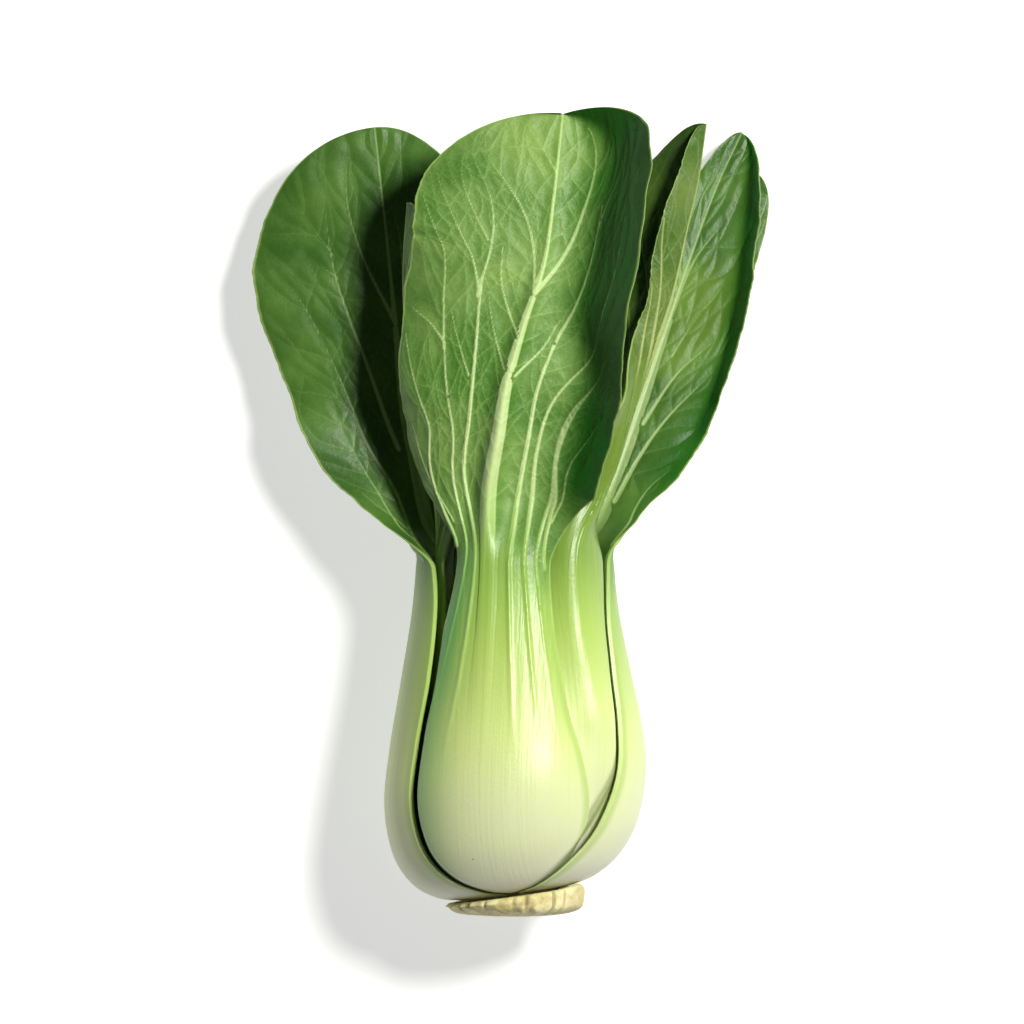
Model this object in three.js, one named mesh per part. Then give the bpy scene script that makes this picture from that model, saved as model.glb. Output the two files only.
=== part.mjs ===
// A head of bok choy lying on its side: a trimmed root and eleven leaves wrapped round it.
// Millimetres. +Y runs from the cut root to the leaf tips, +X to the right and +Z up.
// The head is laid out round its own axis, with h the distance from the root's cut, and
// is centred on the floor at the end. An angle of 0 is on the right and 90 on top.
import * as THREE from "three";

// ---- Driving dimensions ----
const NECK_STATION = 7.5; // where the stalks end and the blades begin
const BLEND = 18; // length over which a stalk turns into its blade, unless its own is given
const AIR = 0.65; // gap between wrapped leaves
const LAMINA = 0.8; // thickness of a blade
const TIP_HALF_WIDTH = 2;
const ROUNDED = 1.8; // p from which a blade rounds off to its tip
const BASE_SKEW = 0.14; // the root was cut askew: height gained per mm to the right
const SKEW_FADE = [30, 90]; // heights between which the skew dies out
const ROOT_LEVEL = [2.5, 5.2]; // heights between which the root turns from level to skewed
const ROWS_STALK = 12;
const ROWS_BLADE = 17;
const COLUMNS = [9, 9, 9, 9, 9, 7, 7, 7, 7, 7, 7]; // points across each leaf

// Stations up the head: its outer radius and height, then the core's radius and height.
const HEAD = [
  [0, 13.5, 6.0, 8.5, 9.5],
  [1, 19.5, 7.6, 7.0, 12.0],
  [2, 25.6, 12.0, 5.2, 17.0],
  [3, 30.2, 20.0, 3.8, 25.0],
  [4, 32.2, 32.0, 2.6, 35.0],
  [5, 30.9, 45.0, 1.8, 47.0],
  [6, 28.1, 60.0, 1.2, 61.0],
  [7, 25.2, 77.0, 0.9, 77.5],
  [8, 24.0, 95.0, 0.7, 95.0],
  [9, 23.8, 115.0, 0.6, 115.0],
];

// The leaves from the outermost inwards. Each leaf's t runs from -1 to 1 across it, and its p
// from 0 at the base to 1 at the neck and 2 at the tip.
//   angle, start        where the stalk sits round the head, and the station where it begins
//   thick, bulge        of the stalk: its middle, and how far its margins drop, in head depths
//   blend               length over which the stalk turns into the blade
//   stem                how much broader than usual the midrib's thick part is
//   crisp               the side whose margin the stalk inside hugs closely
//   widths              [p, minus side, plus side], half widths
//   spine               [x, h, z] of the blade's midrib after the neck, z from the axis
//   turn                [p, degrees] the way t = 1 points, seen from the root
//   fold                [p, degrees] each half is folded up at the midrib
//   curl                [p, minus side, plus side] degrees the margins turn to the inner face
//   crease              [p, start, end, degree] of the creased side: the shares of its width
//                       between which it bends, and how far the bend replaces the even curl
//   ruffle              [height, waves, phase] of the margins
//   lobe                [minus side, plus side] how far the margins run ahead at the tip
const LEAVES = [
  {
    name: "left_outer_leaf",
    angle: 200,
    start: 0,
    thick: 0.24,
    bulge: 0.03,
    blend: 10,
    crisp: 1,
    widths: [
      [0, 20, 24], [0.1, 24, 28], [0.25, 29, 30.5], [0.55, 34, 30.5], [0.78, 26, 28.5], [0.9, 16, 25.5],
      [1, 8.5, 21.5], [1.07, 4.5, 15], [1.15, 6, 17], [1.22, 9, 20.5], [1.31, 13, 24.5], [1.39, 15, 26.5],
      [1.5, 17, 30], [1.58, 18.5, 32.5], [1.68, 20, 34], [1.79, 21, 31.5], [1.88, 20.5, 28], [2, 18, 26],
    ],
    spine: [[-24, 104, -10], [-27, 122, -11.5], [-29, 142, -12], [-31, 162, -12], [-33, 180, -12], [-34.5, 194, -12]],
    turn: [[1, 120], [1.06, 146], [1.14, 167], [1.3, 176], [1.5, 184], [2, 188]],
    fold: [[1, 0], [1.5, 4], [2, 0]],
    curl: [[1, 40, 40], [1.2, 10, 0], [1.5, 4, -14], [2, 0, -10]],
    ruffle: [1.2, 3.4, 0.4],
    lobe: [0, 0],
  },
  {
    name: "right_outer_leaf",
    angle: -25,
    start: 0.15,
    thick: 0.24,
    bulge: 0.03,
    blend: 12,
    crisp: -1,
    widths: [
      [0, 28, 19], [0.12, 33, 24], [0.25, 37, 29], [0.4, 36.5, 33], [0.52, 33.7, 34], [0.67, 29.5, 30], [0.76, 26.7, 26],
      [0.88, 22.2, 18], [1, 16.3, 12], [1.11, 11.5, 7], [1.19, 14, 7], [1.29, 19, 10], [1.41, 23, 13],
      [1.52, 24, 14], [1.65, 22.5, 11.5], [1.77, 19, 8], [1.89, 15.5, 6], [2, 13, 5],
    ],
    spine: [[25, 104, -12], [31, 124, -15], [37.5, 144, -18], [44, 164, -20.5], [50, 180, -22.5], [56, 193, -24]],
    turn: [[1, -125], [1.08, -148], [1.2, -170], [1.5, -178], [2, -182]],
    fold: [[1, 0], [1.5, 4], [2, 6]],
    curl: [[1, 40, 40], [1.2, 8, 10], [1.35, 45, 8], [1.5, 58, 8], [2, 56, 8]],
    creasedSide: -1,
    crease: [[1.15, 0.6, 0.95, 0], [1.35, 0.6, 0.9, 1], [1.6, 0.5, 0.8, 1], [2, 0.3, 0.7, 1]],
    ruffle: [0.8, 4.2, 1.6],
    lobe: [0, 0],
  },
  {
    name: "front_leaf",
    angle: 107,
    start: 0.3,
    thick: 0.24,
    bulge: 0.05,
    widths: [
      [0, 15, 14.5], [0.2, 22, 22], [0.31, 26, 26.5], [0.45, 29, 29.5], [0.57, 28, 27.5], [0.68, 23.5, 23.5],
      [0.78, 17.5, 20.5], [0.88, 13, 17.8], [1, 9, 16.3], [1.06, 10, 17.8], [1.12, 16, 21], [1.2, 26, 26.5],
      [1.3, 30, 29.5], [1.4, 31, 31], [1.5, 32, 32], [1.6, 33.5, 32], [1.7, 34.5, 31.5], [1.8, 34, 31.5],
      [1.9, 33, 34], [2, 32, 36],
    ],
    spine: [
      [-6.6, 104, 23], [-4.2, 118, 25.5], [-2, 131, 26.5], [2, 145, 26.5], [7, 160, 26], [9.5, 177, 24.5],
      [11.5, 196, 21],
    ],
    turn: [[1, 14], [1.2, 4], [1.5, 0], [2, -4]],
    fold: [[1, 0], [1.3, 4], [2, 2]],
    curl: [[1, 10, 4], [1.08, 20, -30], [1.2, 54, -48], [1.35, 50, -58], [1.5, 32, -62], [2, 20, -66]],
    creasedSide: 1,
    crease: [[1.08, 0.4, 0.85, 0], [1.2, 0.32, 0.75, 1], [1.45, 0.32, 0.7, 1], [1.65, 0.05, 0.5, 1], [2, 0.1, 0.65, 1]],
    ruffle: [1.2, 3.1, 2.2],
    lobe: [0, 8],
  },
  {
    name: "back_leaf",
    angle: 252,
    start: 0.5,
    thick: 0.22,
    bulge: 0.06,
    widths: [
      [0, 15, 15], [0.3, 24, 24], [0.55, 27, 27], [0.8, 19, 15.5], [1, 11, 8], [1.1, 12, 8.5], [1.2, 16, 14],
      [1.35, 21, 22], [1.5, 24, 25], [1.7, 24, 25], [1.85, 23, 23], [2, 21, 21],
    ],
    spine: [[-7.5, 104, -26], [-6, 124, -30.5], [-4, 144, -31.5], [-2, 162, -31.5], [0, 177, -31]],
    turn: [[1, 162], [1.3, 176], [2, 180]],
    fold: [[1, 0], [2, 0]],
    curl: [[1, 12, 30], [1.3, 6, 8], [2, 4, 4]],
    ruffle: [0.6, 3, 0.9],
    lobe: [0, 0],
  },
  {
    name: "folded_leaf",
    angle: 48,
    start: 0.7,
    thick: 0.2,
    bulge: 0.07,
    stem: 2,
    widths: [
      [0, 12, 12], [0.3, 19, 20], [0.55, 20, 19], [0.7, 17, 13], [0.8, 14.5, 11.5], [0.9, 11.5, 11], [1, 9, 12],
      [1.1, 6, 11.5], [1.25, 6, 11], [1.38, 7.5, 12], [1.5, 7, 15], [1.65, 8.5, 17], [1.8, 8.8, 18],
      [1.9, 8.5, 17], [2, 7, 13],
    ],
    spine: [
      [20.5, 100, 14.5], [25, 111, 13.5], [29, 124, 13], [34, 138, 12.5], [38.5, 152, 12], [42, 168, 12],
      [44.7, 180, 12], [46.7, 194, 12],
    ],
    turn: [[1, -42], [1.25, -72], [1.5, -98], [2, -106]],
    fold: [[1, 0], [1.3, 20], [1.55, 46], [2, 44]],
    curl: [[1, 25, 25], [1.25, 10, 14], [1.38, -50, 10], [1.5, 20, 8], [1.62, 48, 6], [2, 50, 0]],
    ruffle: [0.4, 4, 0.2],
    lobe: [0, 0],
  },
  {
    name: "left_inner_leaf",
    angle: 170,
    start: 1.0,
    thick: 0.18,
    bulge: 0.06,
    widths: [
      [0, 10, 10], [0.3, 17, 17], [0.55, 19, 19], [0.8, 12, 13], [1, 8, 8.4], [1.15, 8, 8], [1.3, 9, 10],
      [1.5, 10, 13], [1.7, 11, 13], [1.85, 10, 12], [2, 8, 9],
    ],
    spine: [[-20, 104, 5], [-24, 124, 6], [-27, 144, 6.5], [-27.5, 160, 7], [-26.5, 175, 7]],
    turn: [[1, 80], [2, 84]],
    fold: [[1, 0], [1.4, 14], [2, 10]],
    curl: [[1, 32, 32], [1.4, 20, 20], [2, 14, 14]],
    ruffle: [0.6, 3, 1.2],
    lobe: [0, 0],
  },
  {
    name: "right_back_leaf",
    angle: 293,
    start: 1.2,
    thick: 0.18,
    bulge: 0.06,
    widths: [
      [0, 10, 10], [0.3, 17, 17], [0.55, 18, 18], [0.75, 11, 8], [1, 8, 5], [1.15, 8, 6], [1.3, 11, 9],
      [1.5, 14, 12.5], [1.7, 13, 12], [1.85, 10, 10], [2, 8, 8],
    ],
    spine: [[12, 104, -22], [23, 122, -26], [36, 142, -29.5], [47, 160, -30.5], [55, 173, -30.5], [60, 183, -30]],
    turn: [[1, 203], [1.25, 187], [1.5, 181], [2, 180]],
    fold: [[1, 0], [2, 2]],
    curl: [[1, 30, 30], [1.3, 8, 8], [2, 4, 4]],
    ruffle: [0.4, 3.5, 2.6],
    lobe: [0, 0],
  },
  {
    name: "front_inner_leaf",
    angle: 85,
    start: 1.5,
    thick: 0.15,
    bulge: 0.05,
    widths: [
      [0, 8, 8], [0.3, 14, 14], [0.55, 16, 16], [0.8, 12, 12], [1, 9, 9], [1.15, 9.5, 9.5], [1.3, 12, 11],
      [1.5, 14, 12], [1.7, 14, 12], [1.85, 13, 11], [2, 11, 10],
    ],
    spine: [[1, 102, 14.5], [1, 120, 14], [2, 138, 14], [4, 154, 13.5], [6, 166, 12]],
    turn: [[1, -5], [2, 0]],
    fold: [[1, 0], [1.4, 10], [2, 6]],
    curl: [[1, 32, 32], [1.4, 36, 30], [2, 26, 26]],
    ruffle: [0.5, 3, 0],
    lobe: [0, 0],
  },
  {
    name: "back_inner_leaf",
    angle: 222,
    start: 1.8,
    thick: 0.13,
    bulge: 0.05,
    widths: [
      [0, 7, 7], [0.3, 12, 12], [0.55, 12.5, 12.5], [0.8, 7, 7.5], [1, 4.8, 4.8], [1.2, 7, 6.5], [1.4, 9, 9],
      [1.6, 9.5, 9.5], [1.8, 8.5, 8.5], [2, 6.5, 6.5],
    ],
    spine: [[-9, 100, -7], [-8.5, 114, -6.5], [-8, 128, -7], [-7, 143, -8]],
    turn: [[1, 132], [2, 145]],
    fold: [[1, 0], [1.4, 10], [2, 8]],
    curl: [[1, 32, 32], [1.4, 26, 26], [2, 20, 20]],
    ruffle: [0.3, 3, 0.7],
    lobe: [0, 0],
  },
  {
    name: "heart_leaf_right",
    angle: 0,
    start: 2.1,
    thick: 0.12,
    bulge: 0.04,
    widths: [
      [0, 6, 6], [0.3, 10, 10], [0.55, 11, 11], [0.8, 8, 8], [1, 6, 6], [1.2, 7, 7], [1.4, 8.5, 8.5],
      [1.6, 9, 9], [1.8, 8, 8], [2, 6, 6],
    ],
    spine: [[11, 98, 0.5], [11, 110, 1], [10.5, 122, 1.5], [9.5, 133, 2]],
    turn: [[1, -90], [2, -88]],
    fold: [[1, 0], [1.4, 12], [2, 10]],
    curl: [[1, 30, 30], [1.4, 34, 34], [2, 26, 26]],
    ruffle: [0.3, 3, 1.9],
    lobe: [0, 0],
  },
  {
    name: "heart_leaf_left",
    angle: 120,
    start: 2.4,
    thick: 0.12,
    bulge: 0.04,
    widths: [
      [0, 5, 5], [0.3, 8, 8], [0.55, 8.2, 8.5], [0.8, 5, 5.5], [1, 2.6, 3.4], [1.25, 4, 4.6], [1.5, 6, 7],
      [1.75, 6.5, 6.5], [2, 5, 5],
    ],
    spine: [[-4.2, 96, 3], [-3.8, 106, 3.2], [-3.6, 117, 3.4]],
    turn: [[1, 47], [2, 50]],
    fold: [[1, 0], [1.4, 12], [2, 10]],
    curl: [[1, 30, 30], [1.4, 40, 40], [2, 30, 30]],
    ruffle: [0.2, 2.5, 0.5],
    lobe: [0, 0],
  },
];

// ---- Small mathematics ----
const radians = THREE.MathUtils.degToRad;
const lerp = THREE.MathUtils.lerp;
const clamp = THREE.MathUtils.clamp;
const smoothstep = THREE.MathUtils.smoothstep;

// A smooth line through the keys' first and given column: cubic Hermite, with slopes taken
// from the neighbouring keys.
function through(keys, x, column = 1) {
  const last = keys.length - 1;
  if (x <= keys[0][0]) return keys[0][column];
  if (x >= keys[last][0]) return keys[last][column];
  const i = keys.findIndex((key) => key[0] > x) - 1;
  const slope = (j) => {
    const a = keys[Math.max(j - 1, 0)];
    const b = keys[Math.min(j + 1, last)];
    return (b[column] - a[column]) / (b[0] - a[0]);
  };
  const [x0, y0] = [keys[i][0], keys[i][column]];
  const [x1, y1] = [keys[i + 1][0], keys[i + 1][column]];
  const step = x1 - x0;
  const s = (x - x0) / step;
  const rise = y1 - y0;
  const m0 = slope(i) * step;
  const m1 = slope(i + 1) * step;
  return y0 + s * (m0 + s * (3 * rise - 2 * m0 - m1 + s * (m0 + m1 - 2 * rise)));
}

// The column of a side of the leaf in its widths and curl.
const sideOf = (t) => (t < 0 ? 1 : 2);

// ---- The wrapped stalks ----
// A point of the head: its station, its angle in degrees, and its depth from 0 outside to 1 at the core.
function headPoint(station, angle, depth) {
  const r = lerp(through(HEAD, station, 1), through(HEAD, station, 3), depth);
  const h = lerp(through(HEAD, station, 2), through(HEAD, station, 4), depth);
  return new THREE.Vector3(r * Math.cos(radians(angle)), h, r * Math.sin(radians(angle)));
}

const headDepth = (station) => headPoint(station, 0, 0).distanceTo(headPoint(station, 0, 1));
const stationOf = (leaf, p) =>
  p <= 1 ? lerp(leaf.start, NECK_STATION, p) : NECK_STATION + ((p - 1) * leaf.bladeLength) / 19;
const stalkP = (leaf, station) => (station - leaf.start) / (NECK_STATION - leaf.start);
const degreesWide = (width, station) => THREE.MathUtils.radToDeg(width / through(HEAD, station, 1));

// Shares of the head's depth, a being 0 at the middle of a stalk and 1 at its margins.
const marginDrop = (leaf, a) => leaf.bulge * a * a * a;
const stalkThickness = (leaf, a) => leaf.thick * (0.2 + 0.8 * Math.pow(1 - Math.min(a * a, 1), 0.8));

// How deep the outer face of leaf number k lies: under every leaf wrapped round it before.
function depthUnder(k, station, angle) {
  let depth = 0;
  for (const leaf of LEAVES.slice(0, k)) {
    const away = THREE.MathUtils.euclideanModulo(leaf.angle - angle + 180, 360) - 180;
    const width = through(leaf.widths, Math.min(stalkP(leaf, station), 1), sideOf(away));
    const a = Math.abs(away) / degreesWide(width, station);
    const covered = 1 - smoothstep(a, 1, away * (leaf.crisp ?? 0) > 0 ? 1.26 : 1.45);
    depth += covered * (marginDrop(leaf, Math.min(a, 1.05)) + stalkThickness(leaf, a) + AIR / headDepth(station));
  }
  return depth;
}

function stalkFaces(k, p, t) {
  const leaf = LEAVES[k];
  const station = stationOf(leaf, p);
  const a = Math.abs(t);
  const angle = leaf.angle - t * degreesWide(halfWidth(leaf, p, t), station);
  const depth = depthUnder(k, station, angle) + marginDrop(leaf, a);
  return [headPoint(station, angle, depth), headPoint(station, angle, depth + stalkThickness(leaf, a))];
}

// ---- The free blades ----
const rounding = (p) => Math.sqrt(1 - Math.pow(clamp((p - ROUNDED) / (2 - ROUNDED), 0, 1), 2));
function halfWidth(leaf, p, t) {
  return Math.max(through(leaf.widths, p, sideOf(t)) * rounding(p), TIP_HALF_WIDTH);
}

// How much of its curl a blade has taken at a share of its half width from the midrib.
function curled(leaf, p, t, at) {
  if (!leaf.crease || t * leaf.creasedSide < 0) return at * at;
  const [start, end, degree] = [1, 2, 3].map((column) => through(leaf.crease, p, column));
  return lerp(at * at, smoothstep(at, start, end), degree);
}

// Across and inward distance of a blade's section at t from the midrib.
function section(leaf, p, t) {
  const share = Math.abs(t);
  const width = halfWidth(leaf, p, t);
  const fold = through(leaf.fold, p);
  const curl = through(leaf.curl, p, sideOf(t));
  const steps = 12;
  let across = 0;
  let inward = 0;
  for (let i = 0; i < steps; i++) {
    const at = ((i + 0.5) / steps) * share;
    const angle = radians(fold + curl * curled(leaf, p, t, at));
    across += (Math.cos(angle) * width * share) / steps;
    inward += (Math.sin(angle) * width * share) / steps;
  }
  return [across, inward];
}

function bladeFaces(leaf, p, t) {
  const share = Math.abs(t);
  const along = clamp((leaf.lead + (p - 1) * leaf.bladeLength) / leaf.path.getLength(), 0, 1);
  const tangent = leaf.path.getTangentAt(along);
  const turn = radians(through(leaf.turn, p));
  const across = new THREE.Vector3(Math.cos(turn), 0, Math.sin(turn));
  across.addScaledVector(tangent, -across.dot(tangent)).normalize();
  const inward = tangent.clone().cross(across);
  const width = halfWidth(leaf, p, t);
  const [x, n] = section(leaf, p, t);
  const [height, waves, phase] = leaf.ruffle;
  const ruffle = height * share * share * Math.sin(2 * Math.PI * waves * (p - 1) + phase + (t < 0 ? 1.7 : 0));
  const ahead = (t < 0 ? leaf.lobe[0] : leaf.lobe[1]) * share * share * smoothstep(p, 1.6, 1.9) * rounding(p);
  const ribHeight = leaf.neckThickness * Math.pow(clamp(2 - p, 0, 1), 1.5);
  const ribWidth = (leaf.stem ?? 1) * (1 + 2.5 * clamp(2 - p, 0, 1));
  const rib = Math.exp(-Math.pow((share * width) / ribWidth, 2));
  const spine = leaf.path
    .getPointAt(along)
    .addScaledVector(across, Math.sign(t) * x)
    .addScaledVector(inward, n + ruffle * smoothstep(p, 1.05, 1.3))
    .addScaledVector(tangent, ahead);
  return [
    spine.clone().addScaledVector(inward, ribHeight * (1 - rib)),
    spine.clone().addScaledVector(inward, ribHeight + LAMINA),
  ];
}

// The blade's path starts in line with its stalk, a little below the neck.
function preparePath(k) {
  const leaf = LEAVES[k];
  leaf.bladeLength = 100;
  const neck = stalkFaces(k, 1, 0);
  const below = stalkFaces(k, 0.88, 0);
  leaf.neckThickness = neck[0].distanceTo(neck[1]) - LAMINA;
  const points = [below[0], neck[0], ...leaf.spine.map(([x, h, z]) => new THREE.Vector3(x, h, z))];
  leaf.path = new THREE.CatmullRomCurve3(points, false, "catmullrom", 0.5);
  leaf.lead = below[0].distanceTo(neck[0]);
  leaf.bladeLength = leaf.path.getLength() - leaf.lead;
}

// ---- Meshes ----
function leafFaces(k, p, t) {
  const leaf = LEAVES[k];
  const freedom = smoothstep((p - 1) * leaf.bladeLength, 0, leaf.blend ?? BLEND);
  if (freedom === 0) return stalkFaces(k, p, t);
  const blade = bladeFaces(leaf, p, t);
  if (freedom === 1) return blade;
  return stalkFaces(k, p, t).map((point, i) => point.lerp(blade[i], freedom));
}

function skewed(point) {
  point.y += BASE_SKEW * point.x * (1 - smoothstep(point.y, ...SKEW_FADE));
  return point;
}

// Rows close up at the neck and towards the rounded tip.
const easedRow = (x) => x - (0.5 * Math.sin(2 * Math.PI * x)) / (2 * Math.PI);

// A closed shell of one leaf: a ring of outer and inner points for each row, and a cap at each end.
function leafGeometry(k) {
  const columns = COLUMNS[k];
  const rows = [];
  for (let i = 0; i < ROWS_STALK; i++) rows.push(i / ROWS_STALK);
  for (let i = 0; i <= ROWS_BLADE; i++) rows.push(1 + easedRow(i / ROWS_BLADE));
  const positions = [];
  for (const p of rows) {
    const pairs = [];
    for (let j = 0; j < columns; j++) pairs.push(leafFaces(k, p, (2 * j) / (columns - 1) - 1).map(skewed));
    for (const pair of pairs) positions.push(...pair[0].toArray());
    for (const pair of pairs.reverse()) positions.push(...pair[1].toArray());
  }
  const ring = 2 * columns;
  const index = [];
  for (let i = 0; i + 1 < rows.length; i++) {
    for (let j = 0; j < ring; j++) {
      const a = i * ring + j;
      const b = i * ring + ((j + 1) % ring);
      index.push(a, b, a + ring, b, b + ring, a + ring);
    }
  }
  const last = (rows.length - 1) * ring;
  for (let j = 0; j + 1 < columns; j++) {
    const mate = ring - 1 - j;
    index.push(j, mate, j + 1, j + 1, mate, mate - 1);
    index.push(last + j, last + j + 1, last + mate, last + j + 1, last + mate - 1, last + mate);
  }
  return new THREE.BufferGeometry()
    .setAttribute("position", new THREE.Float32BufferAttribute(positions, 3))
    .setIndex(index);
}

// The root's cut end, its rim, and the short stem that the leaves grow on.
function rootGeometry() {
  const profile = [
    [0, 0], [7, 0.2], [12.5, 0.8], [15.8, 1.8], [17, 3], [17.2, 4.4], [16.6, 5.6], [15.2, 5.6],
    [12.8, 5.1], [10, 6.6], [8.1, 8.8], [6.4, 11.6], [4.8, 16.5], [3.3, 25], [2.2, 34], [0, 36],
  ].map(([r, h]) => new THREE.Vector2(r, h));
  const geometry = new THREE.LatheGeometry(profile, 28);
  const position = geometry.getAttribute("position");
  for (let i = 0; i < position.count; i++) {
    const point = new THREE.Vector3().fromBufferAttribute(position, i);
    const level = point.y;
    const share = smoothstep(level, ...ROOT_LEVEL);
    position.setXYZ(i, point.x, lerp(level, skewed(point).y, share), point.z);
  }
  return geometry;
}

const bokChoy = new THREE.Group();
const leafMaterial = new THREE.MeshStandardMaterial({ color: 0x4d7a2c, roughness: 0.45, metalness: 0 });
const rootMaterial = new THREE.MeshStandardMaterial({ color: 0xd9cd9a, roughness: 0.75, metalness: 0 });

const root = new THREE.Mesh(rootGeometry(), rootMaterial);
root.name = "root";
bokChoy.add(root);
LEAVES.forEach((leaf, k) => {
  preparePath(k);
  const mesh = new THREE.Mesh(leafGeometry(k), leafMaterial);
  mesh.name = leaf.name;
  bokChoy.add(mesh);
});

// The origin is on the floor, under the middle of the head.
const box = new THREE.Box3().setFromObject(bokChoy);
const centre = box.getCenter(new THREE.Vector3());
for (const mesh of bokChoy.children) mesh.position.set(-centre.x, -centre.y, -box.min.z);

export default bokChoy;
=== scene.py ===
"""A head of bok choy lying on its back: a root and eleven leaves, each grown from its outline,
its midrib's path and its veins. Lengths are in millimetres until a mesh is made."""
import math

import bpy
import numpy as np
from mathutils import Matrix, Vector
from mathutils.kdtree import KDTree


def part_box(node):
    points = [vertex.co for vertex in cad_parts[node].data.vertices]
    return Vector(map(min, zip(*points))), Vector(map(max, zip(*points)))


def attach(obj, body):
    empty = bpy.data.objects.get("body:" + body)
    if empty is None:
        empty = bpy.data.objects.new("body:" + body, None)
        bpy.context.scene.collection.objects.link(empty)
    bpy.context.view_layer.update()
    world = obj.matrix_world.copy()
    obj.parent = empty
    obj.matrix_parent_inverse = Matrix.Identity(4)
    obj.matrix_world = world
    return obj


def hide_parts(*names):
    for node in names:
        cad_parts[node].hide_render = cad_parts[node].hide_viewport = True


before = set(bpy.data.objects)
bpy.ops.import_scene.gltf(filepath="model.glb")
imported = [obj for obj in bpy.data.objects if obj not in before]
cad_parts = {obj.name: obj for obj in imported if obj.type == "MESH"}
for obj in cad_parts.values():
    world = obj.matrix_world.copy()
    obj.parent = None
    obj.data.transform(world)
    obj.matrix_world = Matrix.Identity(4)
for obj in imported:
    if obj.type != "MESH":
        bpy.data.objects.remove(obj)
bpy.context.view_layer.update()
MM = 0.001

# ---- Where the head lies ----
root_low, root_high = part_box("root")
AXIS_X = (root_low.x + root_high.x) / 2
AXIS_Z = (root_low.z + root_high.z) / 2
CUT_Y = root_low.y

# ---- The head: station, outer radius and height, core radius and height ----
HEAD = [
    (0, 13.5, 6.0, 8.5, 9.5),
    (1, 19.5, 7.6, 7.0, 12.0),
    (2, 25.6, 12.0, 5.2, 17.0),
    (3, 30.2, 20.0, 3.8, 25.0),
    (4, 32.2, 32.0, 2.6, 35.0),
    (5, 30.9, 45.0, 1.8, 47.0),
    (6, 28.1, 60.0, 1.2, 61.0),
    (7, 25.2, 77.0, 0.9, 77.5),
    (8, 24.0, 95.0, 0.7, 95.0),
    (9, 23.8, 115.0, 0.6, 115.0),
]
NECK_STATION = 7.5  # where the stalks end and the blades begin
BLEND = 18  # length over which a stalk turns into its blade, unless its own is given
AIR = 0.3  # gap under a leaf that the next one hugs closely
LOOSE_AIR = 0.8  # gap under any other leaf
ROUNDED = 1.8  # p from which a blade rounds off to its tip
BASE_SKEW = 0.14  # the root was cut askew: height gained per mm to the right
SKEW_FADE = (30, 90)  # heights between which the skew dies out
ROOT_LEVEL = (2.5, 5.2)  # heights between which the root turns from level to skewed

# ---- The blades ----
BLADE_THICKNESS = 0.55
PILLOW = 0.32  # how far a blade swells between its veins
SIDE_VEIN_SPACING = 6.5
SIDE_VEIN_WIDTHS = (0.16, 0.06)  # half widths where a side vein leaves its rib and at its end
SIDE_VEIN_TURN = (32, 50)  # degrees between a side vein and its rib
SIDE_VEIN_STEP = 0.35
FIRST_SIDE_VEIN = 14  # length of blade that stays clear of side veins, from the neck
MIDRIB = [
    (0.4, 2.6), (0.9, 2.3), (1.0, 2.1), (1.2, 1.85), (1.35, 1.55), (1.5, 1.05), (1.62, 0.65),
    (1.75, 0.4), (2, 0.25),
]  # p and half width
ROWS = (80, 195, 60)  # mesh rows of a stalk, a blade and a tip, at full detail
COLUMNS = 68  # mesh columns of half a leaf, at full detail
BEND_SHADE_SPREAD = 0.8  # how much of the deep green painted shade of a bent side the rest of that side takes
GREEN_SHADED_FLANK = {"front_leaf": 1.15, "left_outer_leaf": 0.8}  # how green stalks are along their left sides, partly their own colour and partly painted shade
GREENING_LAG = {"folded_leaf": 0.42}  # how much later this stalk turns green

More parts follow.
